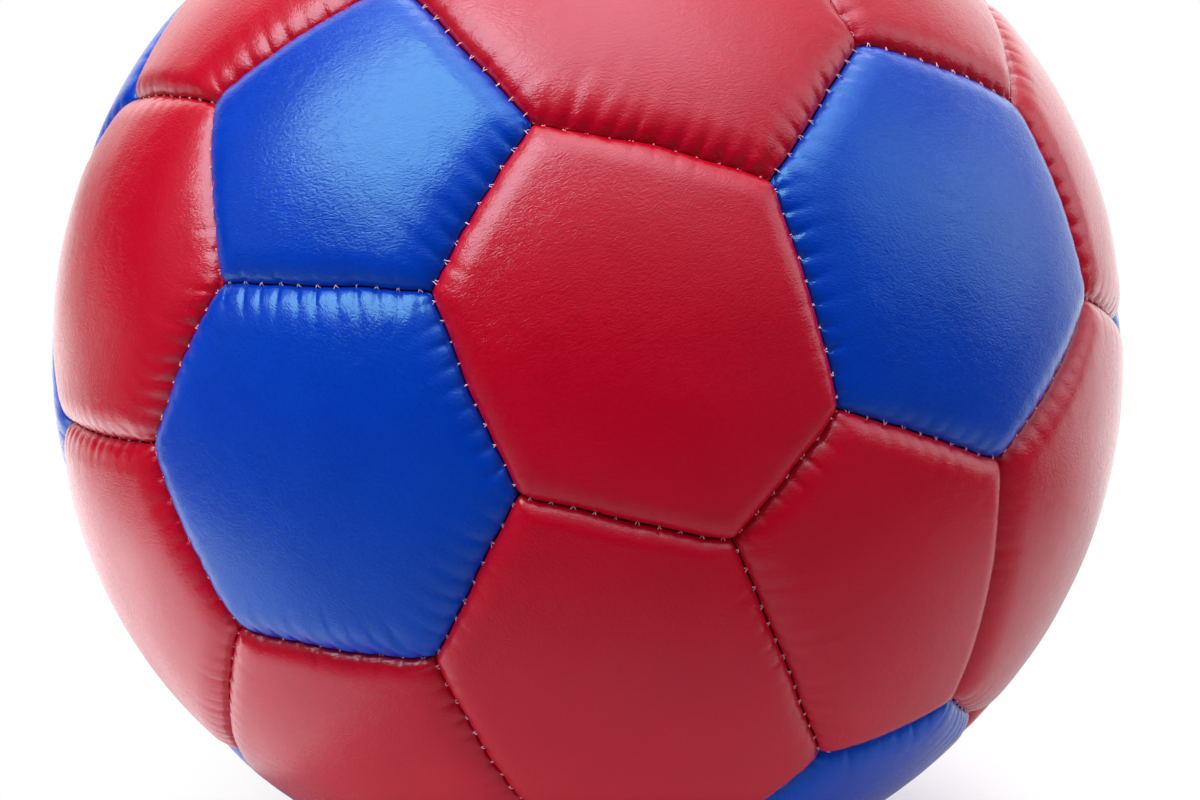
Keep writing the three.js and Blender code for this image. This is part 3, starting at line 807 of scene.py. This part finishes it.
def leather(name, colour, deep_tone_and_shade, gleam):
    """Glossy coated leather with a grain of fine wrinkles, longer than they are wide, and painted shade in
    the grain's creases.
    """
    nodes = Nodes(name)
    place = nodes.add("ShaderNodeAttribute", attribute_name="cut").outputs["Vector"]
    bend = nodes.add("ShaderNodeTexNoise", {"Scale": 0.45, "Detail": 2.0})
    nodes.join(place, bend.inputs["Vector"])
    bent = nodes.add("ShaderNodeVectorMath", {3: 1.6}, operation="SCALE")
    nodes.join(bend.outputs["Color"], bent.inputs[0])
    coords = nodes.add("ShaderNodeVectorMath", operation="ADD")
    nodes.join(place, coords.inputs[0])
    nodes.join(bent.outputs[0], coords.inputs[1])
    drawn = nodes.add("ShaderNodeMapping", {"Scale": GRAIN_STRETCH})
    nodes.join(coords.outputs[0], drawn.inputs["Vector"])
    cells = nodes.add("ShaderNodeTexVoronoi", {"Scale": 1.0})
    nodes.join(drawn.outputs[0], cells.inputs["Vector"])
    wrinkles = nodes.add("ShaderNodeTexNoise", {"Scale": 0.8, "Detail": 2.0, "Roughness": 0.55})
    wrinkles.inputs["Distortion"].default_value = 0.6
    nodes.join(drawn.outputs[0], wrinkles.inputs["Vector"])
    swells = nodes.add("ShaderNodeTexNoise", {"Scale": 0.4, "Detail": 2.0})
    nodes.join(place, swells.inputs["Vector"])

    pits = nodes.math("MULTIPLY", cells.outputs["Distance"], 0.7)
    grain = nodes.math("SUBTRACT", wrinkles.outputs[0], pits)
    grain = nodes.math("ADD", grain, nodes.math("MULTIPLY", swells.outputs[0], 1.2))
    bump = nodes.add("ShaderNodeBump", {"Strength": 1.0, "Distance": GRAIN_HEIGHT})
    nodes.join(grain, bump.inputs["Height"])

    patches = nodes.add("ShaderNodeTexNoise", {"Scale": 0.12, "Detail": 3.0})
    nodes.join(place, patches.inputs["Vector"])
    tone = nodes.spread(patches.outputs[0], 0.3, 0.7, 0.0, 0.5)
    # Painted shade: the grain's creases, where the wrinkles run low, take the deeper tone along with the
    # random patches.
    painted_crease_shade = nodes.spread(wrinkles.outputs[0], 0.5, 0.3, 0.0, 0.5)
    share = nodes.math("ADD", tone, painted_crease_shade, clamp=True)
    shader = nodes.add("ShaderNodeBsdfPrincipled", {**LEATHER_GLOSS, "Specular Tint": (*gleam, 1.0)})
    nodes.join(nodes.mix(share, (*colour, 1.0), (*deep_tone_and_shade, 1.0)), shader.inputs["Base Color"])
    nodes.join(nodes.spread(wrinkles.outputs[0], 0.3, 0.7, 0.2, 0.25), shader.inputs["Roughness"])
    nodes.join(bump.outputs[0], shader.inputs["Normal"])
    nodes.join(shader.outputs[0], nodes.output.inputs["Surface"])
    return nodes.material


def thread_material():
    """Pale polyester thread with a fine twist."""
    nodes = Nodes("stitch_thread")
    place = nodes.add("ShaderNodeTexCoord").outputs["Object"]
    twist = nodes.add("ShaderNodeTexNoise", {"Scale": 5200.0, "Detail": 2.0})
    nodes.join(place, twist.inputs["Vector"])
    share = nodes.spread(twist.outputs[0], 0.35, 0.65, 0.0, 1.0)
    colour = nodes.mix(share, (*THREAD_PALE, 1.0), (*THREAD_DEEP, 1.0))
    bump = nodes.add("ShaderNodeBump", {"Strength": 0.6, "Distance": 0.00004})
    nodes.join(twist.outputs[0], bump.inputs["Height"])
    shader = nodes.add("ShaderNodeBsdfPrincipled", {"Roughness": 0.6, "Sheen Weight": 0.4})
    nodes.join(colour, shader.inputs["Base Color"])
    nodes.join(bump.outputs[0], shader.inputs["Normal"])
    nodes.join(shader.outputs[0], nodes.output.inputs["Surface"])
    return nodes.material


def rubber(name, colour, grain_scale):
    """Moulded rubber with a faint cast grain."""
    nodes = Nodes(name)
    place = nodes.add("ShaderNodeTexCoord").outputs["Object"]
    grain = nodes.add("ShaderNodeTexNoise", {"Scale": grain_scale, "Detail": 4.0})
    nodes.join(place, grain.inputs["Vector"])
    pale = tuple(min(1.0, part * 1.7 + 0.004) for part in colour)
    bump = nodes.add("ShaderNodeBump", {"Strength": 0.5, "Distance": 0.00003})
    nodes.join(grain.outputs[0], bump.inputs["Height"])
    shader = nodes.add("ShaderNodeBsdfPrincipled", {"Specular IOR Level": 0.4})
    share = nodes.spread(grain.outputs[0], 0.3, 0.7, 0.0, 1.0)
    nodes.join(nodes.mix(share, (*colour, 1.0), (*pale, 1.0)), shader.inputs["Base Color"])
    nodes.join(nodes.spread(grain.outputs[0], 0.3, 0.7, 0.45, 0.62), shader.inputs["Roughness"])
    nodes.join(bump.outputs[0], shader.inputs["Normal"])
    nodes.join(shader.outputs[0], nodes.output.inputs["Surface"])
    return nodes.material


# Floor, lamps, surroundings and camera

# The floor, and the place that its shadow lies about, with the distances over which that fades into white
FLOOR_SIZE = 1.2
FLOOR_COLOUR = 0.96
FLOOR_SHADE_PLACE = (0.045, 0.0, 0.0)
FLOOR_FADE = (0.01, 0.1)
# The floor's brightness as the leather mirrors it, painted into the colour that only glossy rays see:
# painted shadow under the ball and on its right, and painted shade towards the front and past the sheet's
# edges. Each gives an axis, where along it the brightness changes, and from and to what share. The shadow
# under the ball goes by the distance from where the ball rests.
GLOSS_NEAR = ("Y", -0.08, 0.02, 0.3, 1.0)
GLOSS_FRONT = ("Y", -0.17, -0.06, 0.01, 1.0)
GLOSS_LEFT = ("X", -0.21, -0.13, 0.04, 1.0)
GLOSS_SHADOW_RIGHT = ("X", 0.02, 0.1, 1.0, 0.6)
GLOSS_FAR_RIGHT = ("X", 0.16, 0.3, 1.0, 0.15)
GLOSS_BACK = ("Y", 0.04, 0.14, 0.0, 1.0)
GLOSS_BACK_LEFT = ("X", -0.32, -0.14, 0.27, 1.0)
GLOSS_SHADOW_UNDER = (0.03, 0.11, 0.4, 1.0)
# How far the floor is dimmed for soft light, in the same terms: painted shade far off in front and to the
# left, and painted shadow right of the ball.
DIM_FRONT = ("Y", -0.26, -0.1, 0.6, 0.0)
DIM_LEFT = ("X", -0.26, -0.1, 0.38, 0.0)
DIM_SHADOW_RIGHT = ("X", 0.01, 0.08, 0.0, 0.28)

# Soft lamps: degrees right of the front and up, metres away, metres wide, radiance
LAMPS = {
    "left_key": (-67, 51, 0.7, 0.47, 5.9),
    "overhead": (-60, 84, 0.7, 0.44, 1.5),
    "behind": (178, 46, 0.7, 0.4, 2.2),
}
# A pale sheet that lies left of the ball and throws the key light back: its place, width and radiance
BOUNCE_PLACE = (-0.095, -0.04, 0.002)
BOUNCE_WIDTH = 0.1
BOUNCE_RADIANCE = 0.55
# Radiance of the room around the ball. Each glow has a direction, as a lamp has, the cosines to it at
# which the glow starts and is full, and its strength.
ROOM_BASE = 0.006
ROOM_GLOWS = {
    "ceiling": ((60, 82), 0.85, 0.97, 1.35),
    "high_wall": ((0, 90), 0.33, 1.0, 0.62),
    "high_left": ((-145, 60), 0.86, 0.98, 0.6),
    "high_back": ((175, 42), 0.6, 0.95, 0.6),
    "back_right": ((148, -6), 0.62, 0.97, 0.6),
    "back_left": ((-150, 15), 0.92, 0.99, 0.8),
    "back_wall": ((172, -20), 0.52, 0.85, 1.0),
    "window_top": ((88, 35), 0.935, 0.99, 1.25),
    "window_foot": ((108, 18), 0.948, 0.99, 1.45),
    "left_wall": ((-88, 20), 0.92, 0.99, 0.25),
}
# More glows, of soft light that the gloss doesn't mirror
FILL_GLOWS = {
    "right": ((90, 5), 0.1, 0.95, 0.45),
    "high_left": ((-92, 42), 0.3, 1.0, 0.2),
}


def floor():
    """A white sheet under the ball that fades into the white surroundings, and keeps the ball's shadow. For
    the gloss and for soft light its colour also carries painted shadow and shade.
    """
    mesh = bpy.data.meshes.new("floor")
    half = FLOOR_SIZE / 2
    corners = [(-half, -half, 0), (half, -half, 0), (half, half, 0), (-half, half, 0)]
    mesh.from_pydata(corners, [], [(0, 1, 2, 3)])
    sheet = bpy.data.objects.new("floor", mesh)
    bpy.context.scene.collection.objects.link(sheet)
    nodes = Nodes("white_sheet")
    place = nodes.add("ShaderNodeNewGeometry").outputs["Position"]
    parts = nodes.add("ShaderNodeSeparateXYZ")
    nodes.join(place, parts.inputs[0])
    length = nodes.add("ShaderNodeVectorMath", operation="LENGTH")
    nodes.join(place, length.inputs[0])
    ray = nodes.add("ShaderNodeLightPath")
    seen = nodes.math("MAXIMUM", ray.outputs["Is Camera Ray"], ray.outputs["Is Transmission Ray"])

    def along(axis, *limits):
        return nodes.spread(parts.outputs[axis], *limits)

    # Painted light and shade that only glossy rays see: painted shadow under the ball and on its right, and
    # painted shade towards the front and past the sheet's edges.
    right = nodes.math("MULTIPLY", along(*GLOSS_SHADOW_RIGHT), along(*GLOSS_FAR_RIGHT))
    sides = nodes.math("MULTIPLY", along(*GLOSS_LEFT), right)
    back = nodes.math("MULTIPLY", along(*GLOSS_BACK), along(*GLOSS_BACK_LEFT))
    sides = nodes.math("MAXIMUM", sides, back)
    front = nodes.math("MULTIPLY", along(*GLOSS_NEAR), along(*GLOSS_FRONT))
    under = nodes.spread(length.outputs["Value"], *GLOSS_SHADOW_UNDER)
    painted_floor_light = nodes.math("MULTIPLY", front, nodes.math("MULTIPLY", sides, under))
    painted_gloss_shade = nodes.math("MULTIPLY", ray.outputs["Is Glossy Ray"], nodes.math("SUBTRACT", 1.0, painted_floor_light))
    # Painted shade for soft light: darker far off in front and to the left, and painted shadow right of the
    # ball.
    far = nodes.math("MAXIMUM", along(*DIM_FRONT), along(*DIM_LEFT))
    far = nodes.math("MAXIMUM", far, along(*DIM_SHADOW_RIGHT))
    painted_floor_shade = nodes.math("ADD", painted_gloss_shade, nodes.math("MULTIPLY", ray.outputs["Is Diffuse Ray"], far))
    value = nodes.math("MULTIPLY", nodes.math("SUBTRACT", 1.0, painted_floor_shade), FLOOR_COLOUR)
    colour = nodes.add("ShaderNodeCombineColor")
    for socket in colour.inputs:
        nodes.join(value, socket)
    white = nodes.add("ShaderNodeBsdfDiffuse")
    nodes.join(colour.outputs[0], white.inputs["Color"])
    clear = nodes.add("ShaderNodeBsdfTransparent")
    blend = nodes.add("ShaderNodeMixShader")
    from_shade = nodes.add("ShaderNodeVectorMath", {1: FLOOR_SHADE_PLACE}, operation="DISTANCE")
    nodes.join(place, from_shade.inputs[0])
    fade = nodes.math("MULTIPLY", nodes.spread(from_shade.outputs["Value"], *FLOOR_FADE, 0.0, 1.0), seen)
    nodes.join(fade, blend.inputs[0])
    nodes.join(white.outputs[0], blend.inputs[1])
    nodes.join(clear.outputs[0], blend.inputs[2])
    nodes.join(blend.outputs[0], nodes.output.inputs["Surface"])
    mesh.materials.append(nodes.material)


def lamp(name, place, facing, width, radiance):
    """A square lamp that shines from a place, in metres, against the facing direction."""
    light = bpy.data.lights.new(name, "AREA")
    light.shape = "SQUARE"
    light.size = width
    light.energy = radiance * math.pi * width * width
    obj = bpy.data.objects.new(name, light)
    obj.location = place
    obj.rotation_euler = Vector(facing).to_track_quat("Z", "Y").to_euler()
    obj.visible_camera = False
    bpy.context.scene.collection.objects.link(obj)


def lamps():
    """The soft lamps and the pale sheet's light."""
    for name, (azimuth, elevation, distance, width, radiance) in LAMPS.items():
        away = direction(azimuth, elevation)
        lamp(name, away * distance + CENTRE * METRE, away, width, radiance)
    lamp("left_bounce", BOUNCE_PLACE, (0, 0, -1), BOUNCE_WIDTH, BOUNCE_RADIANCE)


def surroundings():
    """A white room above and behind the ball, darker on the camera's side."""
    world = bpy.data.worlds.new("studio")
    bpy.context.scene.world = world
    world.use_nodes = True
    nodes = Nodes(world)
    towards_room = nodes.add("ShaderNodeTexCoord").outputs["Generated"]
    ray = nodes.add("ShaderNodeLightPath")

    def glowing(level, glows):
        for place, start, full, strength in glows.values():
            heart = tuple(direction(*place))
            facing = nodes.add("ShaderNodeVectorMath", {1: heart}, operation="DOT_PRODUCT")
            nodes.join(towards_room, facing.inputs[0])
            glow = nodes.add("ShaderNodeMapRange", {1: start, 2: full, 3: 0.0, 4: strength},
                             interpolation_type="SMOOTHSTEP")
            nodes.join(facing.outputs["Value"], glow.inputs[0])
            level = nodes.math("ADD", level, glow.outputs[0])
        return level

    fill = nodes.math("MULTIPLY", ray.outputs["Is Diffuse Ray"], glowing(0.0, FILL_GLOWS))
    room = nodes.math("ADD", glowing(ROOM_BASE, ROOM_GLOWS), fill)
    seen = nodes.math("MAXIMUM", ray.outputs["Is Camera Ray"], ray.outputs["Is Transmission Ray"])
    unseen = nodes.math("SUBTRACT", 1.0, seen)
    background = nodes.add("ShaderNodeBackground", {"Color": (1, 1, 1, 1)})
    nodes.join(nodes.math("ADD", nodes.math("MULTIPLY", room, unseen), seen), background.inputs["Strength"])
    nodes.join(background.outputs[0], nodes.output.inputs["Surface"])


def camera():
    """The photograph's view."""
    elevation = math.radians(CAMERA_ELEVATION)
    roll = math.radians(CAMERA_ROLL)
    back = np.array([0, -math.cos(elevation), math.sin(elevation)])
    level = np.array([1.0, 0, 0])
    upright = np.array([0, math.sin(elevation), math.cos(elevation)])
    up = math.cos(roll) * upright - math.sin(roll) * level
    right = math.cos(roll) * level + math.sin(roll) * upright
    focal = BALL_PIXEL_RADIUS * math.sqrt(CAMERA_DISTANCE ** 2 - 1)
    off_right = (IMAGE_WIDTH / 2 - BALL_PIXEL[0]) / focal
    off_down = (IMAGE_HEIGHT / 2 - BALL_PIXEL[1]) / focal
    ahead = unit(-back + off_right * right - off_down * up)
    right = unit(np.cross(ahead, up))
    up = np.cross(right, ahead)
    lens = bpy.data.cameras.new("camera")
    lens.sensor_width = SENSOR_WIDTH
    lens.lens = focal / IMAGE_WIDTH * SENSOR_WIDTH
    lens.clip_start = 0.01
    obj = bpy.data.objects.new("camera", lens)
    place = (CENTRE + back * CAMERA_DISTANCE * BALL_RADIUS) * METRE
    matrix = np.eye(4)
    matrix[:3, 0], matrix[:3, 1], matrix[:3, 2], matrix[:3, 3] = right, up, -ahead, place
    obj.matrix_world = Matrix(matrix.tolist())
    bpy.context.scene.collection.objects.link(obj)
    bpy.context.scene.camera = obj


def build():
    """Every piece of the ball, riding on its body in place of its plain solid."""
    net = icosahedron_net()
    points = seam_corners(*net)
    corners = panel_corners(net, points)
    owners = {}
    for name, names in corners.items():
        for pair in zip(names, names[1:] + names[:1]):
            owners.setdefault(tuple(sorted(pair)), []).append(name)
    seams = {pair: Seam(pair, points) for pair in owners}
    panels = {name: Panel(name, names, points, seams, owners) for name, names in corners.items()}

    slots = {entry["node"]: entry["material_slot"] for entry in frame["record"]["subparts"]}
    skins = {
        "red_cover": leather("red_leather", *RED_LEATHER),
        "blue_cover": leather("blue_leather", *BLUE_LEATHER),
    }
    for name, panel in panels.items():
        hole = HOUSING_RADIUS + FIT_CLEARANCE if name == VALVE_PANEL else 0
        piece = panel_mesh(panel, skins[slots[name]], hole)
        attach(piece, "ball")
        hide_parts(name)

    thread = stitching(seams, panels, owners, thread_material())
    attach(thread, "ball")
    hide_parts("seam_thread")

    valve_axis = panels[VALVE_PANEL].centre
    black = rubber("valve_rubber", VALVE_BLACK, 1400.0)
    for piece, body, node in (
        (valve_housing(valve_axis, black), "ball", "valve_housing"),
        (valve_plug(valve_axis, black), "valve_plug", "valve_plug"),
    ):
        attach(piece, body)
        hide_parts(node)
    bladder = frame["nodes"]["bladder"]
    bladder.data.materials.clear()
    bladder.data.materials.append(rubber("bladder_rubber", BLADDER_BLACK, 300.0))


bpy.context.scene.view_settings.view_transform = "Standard"
camera()
build()
floor()
surroundings()
lamps()
